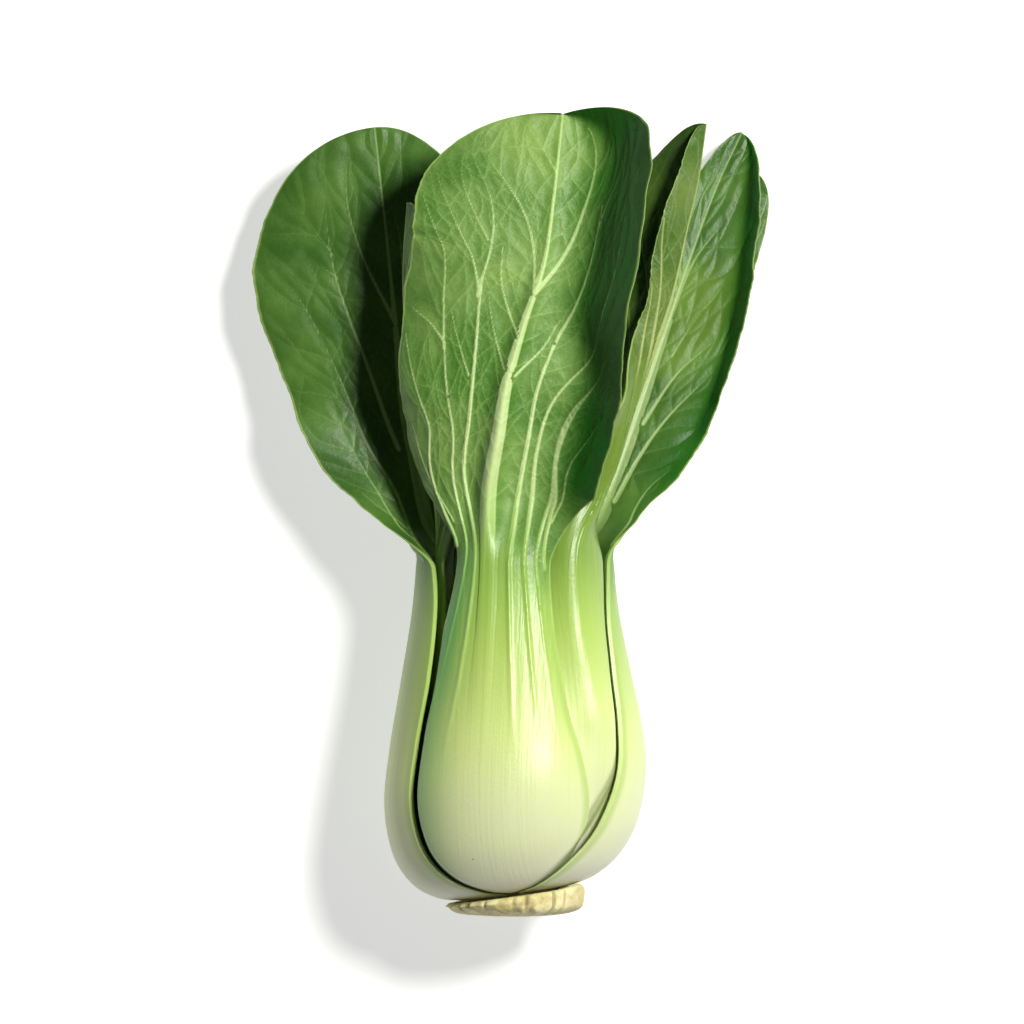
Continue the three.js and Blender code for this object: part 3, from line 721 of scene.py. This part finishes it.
def shell(name, rings, sharp=40):
    """A closed mesh from rings of equal length, capped at both ends by joining opposite points."""
    count, ring = rings.shape[:2]
    i = np.arange(count - 1)[:, None] * ring
    j = np.arange(ring)[None, :]
    k = (j + 1) % ring
    quads = np.stack([i + j, i + k, i + ring + k, i + ring + j], -1).reshape(-1, 4).tolist()
    last = (count - 1) * ring
    for a in range(ring // 2 - 1):
        b = ring - 1 - a
        quads.append([a, b, b - 1, a + 1])
        quads.append([last + a, last + a + 1, last + b - 1, last + b])
    mesh = bpy.data.meshes.new(name)
    mesh.from_pydata(rings.reshape(-1, 3).tolist(), [], quads)
    mesh.validate()
    mesh.polygons.foreach_set("use_smooth", [True] * len(mesh.polygons))
    mesh.set_sharp_from_angle(angle=math.radians(sharp))
    made = bpy.data.objects.new(name, mesh)
    bpy.context.scene.collection.objects.link(made)
    return made


def note(made, name, values):
    """Keeps a value, or a vector, for each point of a mesh, for its finish to read."""
    kind, key = ("FLOAT_VECTOR", "vector") if values.ndim > 1 else ("FLOAT", "value")
    made.data.attributes.new(name, kind, "POINT").data.foreach_set(key, values.ravel().astype(np.float32))


def leaf_mesh(leaf):
    plan = leaf.plan
    fine = plan["detail"]
    stalk_rows = np.linspace(0, 1, int(ROWS[0] * fine), endpoint=False)
    blade_rows = np.linspace(1, ROUNDED, int(ROWS[1] * fine), endpoint=False)
    tip_rows = ROUNDED + (2 - ROUNDED) * np.sin(np.linspace(0, math.pi / 2, int(ROWS[2] * fine)))
    rows = np.concatenate([stalk_rows, blade_rows, tip_rows])
    columns = np.linspace(-1, 1, 2 * int(COLUMNS * fine) + 1)
    p, t = np.meshgrid(rows, columns, indexing="ij")
    u, v = leaf.flat(p, t)
    leaf.grow_veins()
    rib, rib_width = clear_of(leaf.rib_points, leaf.rib_widths, u, v)
    vein, vein_width = clear_of(leaf.vein_points, leaf.vein_widths, u, v)
    outer, inner = leaf.faces(p, t)
    inward = unit(inner - outer)
    ripe = p - GREENING_LAG.get(plan["name"], 0) * ease(p, 0.1, 1.45)
    free = ease(ripe, 1.0, 1.16)
    share = np.abs(t)
    # blades swell between their veins
    apart = np.minimum(rib, vein + 0.35)
    swell = PILLOW * (1 - np.exp(-((apart / 1.5) ** 2))) * free * (1 - 0.6 * share**8)
    waves = 0.5 * ripples(u, v, 26, leaf.order) * free * ease(share, 0.1, 0.6)
    frills = 0.25 * ripples(v, 0 * v, 8, leaf.order + 50) + 0.5 * ripples(v, 0 * v, 19, leaf.order + 90)
    margin = share**6 * frills * free
    shift = (swell + waves + margin)[..., None] * inward
    outer, inner = outer + shift, inner + shift
    raised = np.exp(-((rib / (0.75 * rib_width)) ** 2)) * rib_width * ease(ripe, 0.55, 1.0)
    away = 1 - 0.75 * np.exp(-((u / 2.5) ** 2))
    outer = outer - inward * (0.7 * raised * away)[..., None]
    inner = inner - inward * (0.16 * raised * free)[..., None]
    # small teeth along the margin
    outwards = unit(outer[:, -1] - outer[:, -2])[:, None], unit(outer[:, 0] - outer[:, 1])[:, None]
    teeth = 0.13 * ripples(v, 0 * v, 2.4, leaf.order + 20) + 0.3 * ripples(v, 0 * v, 11, leaf.order + 30)
    push = (share**10 * teeth * free * ease(2 - p, 0, 0.1))[..., None]
    push = push * np.where(t[..., None] > 0, outwards[0], outwards[1])
    outer, inner = outer + push, inner + push

    def rounded_edge(side):
        a, b = outer[:, side], inner[:, side]
        beyond = unit(outer[:, side] - outer[:, 1 if side == 0 else -2])
        return (a + b) / 2 + beyond * np.linalg.norm(a - b, axis=-1, keepdims=True) * 0.42

    edges = rounded_edge(-1)[:, None], rounded_edge(0)[:, None]
    # a ring has an edge point after each face, and starts where opposite points pair up
    rings = np.roll(np.concatenate([outer, edges[0], inner[:, ::-1], edges[1]], 1), 1, axis=1)
    made = shell(plan["name"] + "_skin", placed(rings))

    def round_ring(a, other=None):
        b = a if other is None else other
        ends = (a[:, -1:] + b[:, -1:]) / 2, (a[:, :1] + b[:, :1]) / 2
        return np.roll(np.concatenate([a, ends[0], b[:, ::-1], ends[1]], 1), 1, axis=1).ravel()

    note(made, "along", round_ring(p - 0.15 * (p - ripe)))
    note(made, "ripe", round_ring(ripe))
    # mask of the painted shade on the bent sides
    note(made, "roll", round_ring(leaf.painted_bend_shade(p, t)))
    # mask of the greener left flanks, partly painted shade
    note(made, "flank", round_ring(ease(-t, 0.1, 0.9) * GREEN_SHADED_FLANK.get(plan["name"], 0)))
    note(made, "shade", round_ring(ease(p, 0.8, 1.25) * (plan["name"] == "folded_leaf")))
    # mask of the painted contact shade beside covering leaves
    note(made, "nook", round_ring(leaf.nook(p, t), other=0 * p))
    note(made, "side", round_ring(t))
    note(made, "rib", round_ring(rib - rib_width))
    note(made, "vein", round_ring(vein - vein_width))
    note(made, "inner", round_ring(np.zeros_like(p), other=np.ones_like(p)))
    flat = [round_ring(u), round_ring(v), round_ring(np.full_like(u, 37.0 * leaf.order))]
    note(made, "flat", np.stack(flat, -1))
    return made


# ---- Finishes ----
class Field:
    """A value that varies over a surface. Arithmetic on it adds Math nodes."""

    def __init__(self, finish, socket):
        self.finish, self.socket = finish, socket

    def do(self, operation, *others):
        return self.finish.add("ShaderNodeMath", {"operation": operation}, dict(enumerate([self, *others])))

    def __add__(self, other):
        return self.do("ADD", other)

    def __sub__(self, other):
        return self.do("SUBTRACT", other)

    def __rsub__(self, other):
        return self.finish.add("ShaderNodeMath", {"operation": "SUBTRACT"}, {0: other, 1: self})

    def __mul__(self, other):
        return self.do("MULTIPLY", other)

    def __pow__(self, other):
        return self.do("POWER", other)

    __radd__, __rmul__ = __add__, __mul__

    def size(self):
        return self.do("ABSOLUTE")

    def rise(self, low, high, start=0.0, end=1.0):
        """Eases from start to end as the value goes from low to high."""
        settings = {"interpolation_type": "SMOOTHSTEP", "clamp": True}
        if low > high:
            low, high, start, end = high, low, end, start
        sockets = {"Value": self, "From Min": low, "From Max": high, "To Min": start, "To Max": end}
        return self.finish.add("ShaderNodeMapRange", settings, sockets)


class Finish:
    """One material and its nodes."""

    def __init__(self, name):
        self.material = bpy.data.materials.new(name)
        self.material.use_nodes = True
        self.tree = self.material.node_tree
        self.tree.nodes.clear()

    def add(self, kind, settings=None, sockets=None, output=0):
        node = self.tree.nodes.new(kind)
        for key, value in (settings or {}).items():
            if key == "stops":
                ramp = node.color_ramp
                while len(ramp.elements) < len(value):
                    ramp.elements.new(0.5)
                for element, (position, colour) in zip(ramp.elements, value):
                    element.position, element.color = position, colour
            else:
                setattr(node, key, value)
        for key, value in (sockets or {}).items():
            if isinstance(value, Field):
                self.tree.links.new(value.socket, node.inputs[key])
            else:
                node.inputs[key].default_value = value
        return Field(self, node.outputs[output]) if node.outputs else None

    def noted(self, name, vector=False):
        return self.add("ShaderNodeAttribute", {"attribute_name": name}, output=1 if vector else 2)

    def mix(self, first, second, share, way="MIX"):
        settings = {"data_type": "RGBA", "blend_type": way}
        return self.add("ShaderNodeMix", settings, {0: share, 6: first, 7: second}, 2)

    def ramp(self, value, stops):
        return self.add("ShaderNodeValToRGB", {"stops": stops}, {0: value})

    def noise(self, place, scale, detail=3.0, roughness=0.5):
        sockets = {"Vector": place, "Scale": scale, "Detail": detail, "Roughness": roughness}
        return self.add("ShaderNodeTexNoise", {}, sockets)

    def stretched(self, place, across, along):
        sockets = {0: place, 1: (across, along, 1.0)}
        return self.add("ShaderNodeVectorMath", {"operation": "MULTIPLY"}, sockets)

    def cells(self, place, scale, randomness, feature="DISTANCE_TO_EDGE", output=0):
        sockets = {"Vector": place, "Scale": scale, "Randomness": randomness}
        return self.add("ShaderNodeTexVoronoi", {"feature": feature}, sockets, output)

    def bump(self, height):
        return self.add("ShaderNodeBump", {}, {"Strength": 1.0, "Distance": MM, "Height": height})


def paint(red, green, blue):
    """A colour given as a painter mixes it, from 0 to 255, made linear."""
    shades = [c / 255 for c in (red, green, blue)]
    return (*(c / 12.92 if c < 0.04045 else ((c + 0.055) / 1.055) ** 2.4 for c in shades), 1.0)


def leaf_finish():
    f = Finish("leaf")
    along, side, rib, vein, inner = (f.noted(n) for n in ("along", "side", "rib", "vein", "inner"))
    ripe = f.noted("ripe")
    place = f.noted("flat", vector=True)
    edge = side.size()
    blotch = f.noise(place, 0.06, 3.0)
    cloud = f.noise(place, 0.022, 2.0)
    # the stalk: cream at the bulb, then yellow-green, then green at the neck
    height = along + (cloud - 0.5) * 0.14 + edge ** 3 * 0.05
    stalk = f.ramp(height * 0.5, [
        (0.0, paint(200, 198, 166)),
        (0.12, paint(206, 209, 178)),
        (0.24, paint(203, 211, 162)),
        (0.33, paint(194, 209, 132)),
        (0.42, paint(160, 187, 92)),
        (0.50, paint(126, 164, 70)),
        (0.60, paint(116, 156, 62)),
    ])
    # greener left flanks of the stalks: partly their own colour, partly painted shade
    stalk = f.mix(stalk, paint(92, 156, 84), f.noted("flank") * along.rise(-0.1, 0.3) * 0.85)
    strands = f.noise(f.stretched(place, 0.9, 0.018), 1.0, 4.0, 0.6)
    stalk = f.mix(stalk, paint(160, 196, 92), strands.rise(0.45, 0.75) * along.rise(0.2, 0.9) * 0.35)
    stalk = f.mix(stalk, paint(118, 160, 80), inner * along.rise(0.5, 1.0) * 0.5)
    # the blade
    outside = f.mix(paint(70, 116, 38), paint(118, 152, 76), blotch.rise(0.3, 0.75))
    inside = f.mix(paint(48, 88, 26), paint(80, 118, 46), blotch.rise(0.3, 0.75))
    blade = f.mix(outside, inside, inner)
    blade = f.mix(blade, paint(150, 180, 70), cloud.rise(0.58, 0.72) * 0.22)
    cells = f.cells(place, 0.42, 0.9)
    fine_cells = f.cells(place, 1.1, 1.0)
    net = cells.rise(0.07, 0.0)
    fine_net = fine_cells.rise(0.09, 0.0)
    on_rib = (rib + inner * 0.12).rise(0.26, -0.16)
    on_vein = (vein + inner * 0.04).rise(0.3, -0.06)
    pale = f.mix(paint(158, 192, 112), paint(128, 156, 92), inner)
    blade = f.mix(blade, pale, (net * 0.1 + fine_net * 0.04) * (1 - inner * 0.5))
    blade = f.mix(blade, pale, on_vein * (0.26 - inner * 0.08))
    rib_colour = f.ramp(along * 0.5, [
        (0.5, paint(178, 208, 122)),
        (0.6, paint(206, 226, 160)),
        (0.8, paint(190, 216, 146)),
        (1.0, paint(160, 192, 112)),
    ])
    rib_colour = f.mix(rib_colour, paint(150, 176, 112), inner * 0.55)
    blade = f.mix(blade, rib_colour, on_rib * (0.85 - inner * 0.2))
    # where the stalk has turned into blade
    green = (ripe + edge ** 2 * 0.09 + (blotch - 0.5) * 0.05).rise(0.97, 1.13)
    green = green * (1 - rib.rise(0.5, -0.6) * along.rise(1.3, 1.0) * 0.7)
    colour = f.mix(stalk, blade, green)
    # painted shade on the bent sides, the folded leaf made darker and yellower, painted contact shade
    # beside the leaves outside, greener stalk margins, and a pale rim that is partly a painted highlight
    # painted shade: the bent sides, turned from the light, are painted deep green
    colour = f.mix(colour, paint(12, 84, 6), f.noted("roll") * green * (1 - on_rib * 0.4) * 0.95)
    colour = f.mix(colour, paint(216, 206, 186), f.noted("shade"), "MULTIPLY")
    # painted contact shade: a dark green line beside the margin of each leaf outside
    colour = f.mix(colour, paint(104, 124, 44), f.noted("nook") * 0.75)
    colour = f.mix(colour, paint(150, 178, 84), edge.rise(0.9, 0.97) * (1 - green) * 0.55)
    # a pale rim along the margins: partly their own paler edge, partly a painted highlight
    rim = edge.rise(0.975, 0.995)
    colour = f.mix(colour, paint(170, 200, 110), rim * along.rise(0.6, 1.0) * 0.5)
    # small bites and specks
    spots = f.cells(place, 0.085, 1.0, "F1")
    chosen = f.cells(place, 0.085, 1.0, "F1", output=1)
    picked = f.add("ShaderNodeSeparateColor", {}, {0: chosen}).rise(0.62, 0.7)
    speck = spots.rise(0.05, 0.025) * picked
    colour = f.mix(colour, paint(74, 70, 30), speck * 0.8)
    roughness = green * 0.14 + 0.36 + (blotch - 0.5) * 0.12 - inner * green * 0.06
    relief = (
        on_vein * 0.05 * (1 - inner * 1.6)
        + on_rib * 0.05 * (1 - inner)
        + (cells.rise(0.0, 0.4) * 0.06 + fine_cells.rise(0.0, 0.35) * 0.02) * (inner * 1.4 - 1)
    ) * green + (strands - 0.5) * 0.12 * (1 - green) + (f.noise(place, 1.6, 4.0) - 0.5) * 0.05
    normal = f.bump(relief)
    skin = {"Base Color": colour, "Roughness": roughness, "Normal": normal, "IOR": 1.42}
    stalk_shader = f.add("ShaderNodeBsdfPrincipled", {}, {
        **skin, "Subsurface Weight": 0.35, "Subsurface Radius": (1.0, 1.1, 0.5),
        "Subsurface Scale": 2.2 * MM,
    })
    blade_shader = f.add("ShaderNodeBsdfPrincipled", {}, {**skin, "Specular IOR Level": 0.4})
    glow = f.mix(colour, paint(150, 190, 40), 0.35)
    through_light = f.add("ShaderNodeBsdfTranslucent", {}, {"Color": glow, "Normal": normal})
    blade_shader = f.add("ShaderNodeMixShader", {}, {0: 0.07, 1: blade_shader, 2: through_light})
    surface = f.add("ShaderNodeMixShader", {}, {0: green, 1: stalk_shader, 2: blade_shader})
    f.add("ShaderNodeOutputMaterial", {}, {"Surface": surface})
    return f.material


def root_finish():
    f = Finish("root")
    place = f.add("ShaderNodeTexCoord", {}, {}, 3)
    grain = f.noise(place, 260, 5.0, 0.65)
    patches = f.noise(place, 70, 3.0)
    height = f.noted("height")
    colour = f.ramp(grain * 0.6 + patches * 0.4, [
        (0.3, paint(150, 132, 82)),
        (0.45, paint(196, 184, 126)),
        (0.62, paint(222, 214, 166)),
        (0.8, paint(236, 232, 196)),
    ])
    colour = f.mix(colour, paint(120, 104, 58), f.noted("groove").rise(0.35, 0.9) * 0.6)
    colour = f.mix(colour, paint(176, 178, 108), height.rise(3.5, 7.0) * 0.5)
    normal = f.bump(grain * 0.7 + patches * 0.6)
    surface = f.add("ShaderNodeBsdfPrincipled", {}, {
        "Base Color": colour, "Roughness": grain * 0.25 + 0.55, "Normal": normal, "Subsurface Weight": 0.2,
        "Subsurface Radius": (1.0, 0.9, 0.5), "Subsurface Scale": 1.5 * MM,
    })
    f.add("ShaderNodeOutputMaterial", {}, {"Surface": surface})
    return f.material


# ---- The root ----
def root_mesh():
    """A turned profile of [step, radius, height] with a grooved, ragged and torn rim."""
    profile = [
        (0, 0.3, 0.5), (1, 5.0, 0.35), (2, 10.0, 0.6), (3, 14.2, 1.2), (4, 16.3, 2.2), (5, 17.0, 3.4),
        (6, 17.1, 4.6), (7, 16.3, 5.6), (8, 14.4, 5.5), (9, 12.4, 5.2), (10, 10, 6.6), (11, 8.1, 8.8),
        (12, 6.4, 11.6), (13, 4.8, 16.5), (14, 3.3, 25), (15, 2.2, 34), (16, 0.3, 35.8),
    ]
    round_about = np.linspace(0, 2 * math.pi, 360, endpoint=False)
    at, angle = np.meshgrid(np.linspace(0, 16, 170), round_about, indexing="ij")
    r, h = through(profile, at, 1), through(profile, at, 2)
    chance = np.random.default_rng(7)
    rim = np.exp(-(((at - 5.6) / 2.2) ** 2))
    groove = np.zeros_like(at)
    for _ in range(34):
        centre, width = chance.uniform(0, 2 * math.pi), chance.uniform(0.02, 0.06)
        away = (angle - centre + math.pi) % (2 * math.pi) - math.pi
        groove += chance.uniform(0.3, 1.0) * np.exp(-((away / width) ** 2))
    rim_x, rim_z = 17 * np.cos(angle), 17 * np.sin(angle)
    ragged = ripples(rim_x, rim_z, 7, 3) + 0.6 * ripples(rim_x, rim_z, 2.6, 4)
    r = r - rim * (0.7 * np.minimum(groove, 1.2) - 0.35 * ragged)
    h = h + np.exp(-(((at - 3.4) / 2.0) ** 2)) * (0.45 * ragged + 0.25) * ease(r, 6, 14)
    tear = np.exp(-(((angle - 0.5) / 0.22) ** 2)) * rim
    r, h = r + 0.8 * tear, h + 1.2 * tear
    points = np.stack([r * np.cos(angle), h, r * np.sin(angle)], -1)
    made = shell("root_skin", placed(points, ease(h, *ROOT_LEVEL))[:, ::-1], sharp=60)
    note(made, "height", h[:, ::-1].ravel())
    note(made, "groove", (groove * rim)[:, ::-1].ravel())
    return made


leaf_material = leaf_finish()
root_material = root_finish()
for leaf in LEAVES:
    piece = leaf_mesh(leaf)
    piece.data.materials.append(leaf_material)
    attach(piece, "root")
    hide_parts(leaf.plan["name"])
root = root_mesh()
root.data.materials.append(root_material)
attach(root, "root")
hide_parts("root")


# ---- Floor, light and camera ----
FLOOR_REACH = 3.0
HEAD_CENTRE = (0, 0.0007, 0.032)
FRAME_WIDTH = 0.2509
LENS, SENSOR = 400, 36


def plain_floor():
    f = Finish("pale_floor")
    surface = f.add("ShaderNodeBsdfPrincipled", {}, {
        "Base Color": (0.5, 0.5, 0.5, 1), "Roughness": 0.9,
        "Emission Color": (1, 1, 1, 1), "Emission Strength": 0.62,
    })
    f.add("ShaderNodeOutputMaterial", {}, {"Surface": surface})
    mesh = bpy.data.meshes.new("floor")
    far = FLOOR_REACH
    mesh.from_pydata([(-far, -far, 0), (far, -far, 0), (far, far, 0), (-far, far, 0)], [], [(0, 1, 2, 3)])
    floor = bpy.data.objects.new("floor", mesh)
    floor.data.materials.append(f.material)
    bpy.context.scene.collection.objects.link(floor)


def lamp(name, place, size, power, tint=(1, 1, 1)):
    light = bpy.data.lights.new(name, "AREA")
    light.shape, light.size, light.energy, light.color = "DISK", size, power, tint
    made = bpy.data.objects.new(name, light)
    made.location = place
    made.rotation_euler = (Vector((0, 0, 0.03)) - Vector(place)).to_track_quat("-Z", "Y").to_euler()
    bpy.context.scene.collection.objects.link(made)


plain_floor()
lamp("key", (0.56, 0.40, 1.16), 0.26, 27.5, (1.0, 0.98, 0.94))
lamp("fill", (-0.5, -0.9, 1.3), 1.2, 0.6)
world = bpy.data.worlds.new("studio")
world.use_nodes = True
world.node_tree.nodes["Background"].inputs[0].default_value = (0.86, 1.0, 0.84, 1)
world.node_tree.nodes["Background"].inputs[1].default_value = 0.05
bpy.context.scene.world = world
bpy.context.scene.view_settings.view_transform = "Standard"

camera = bpy.data.cameras.new("camera")
camera.lens, camera.sensor_width = LENS, SENSOR
viewer = bpy.data.objects.new("camera", camera)
viewer.location = Vector(HEAD_CENTRE) + Vector((0, 0, FRAME_WIDTH * LENS / SENSOR))
bpy.context.scene.collection.objects.link(viewer)
bpy.context.scene.camera = viewer
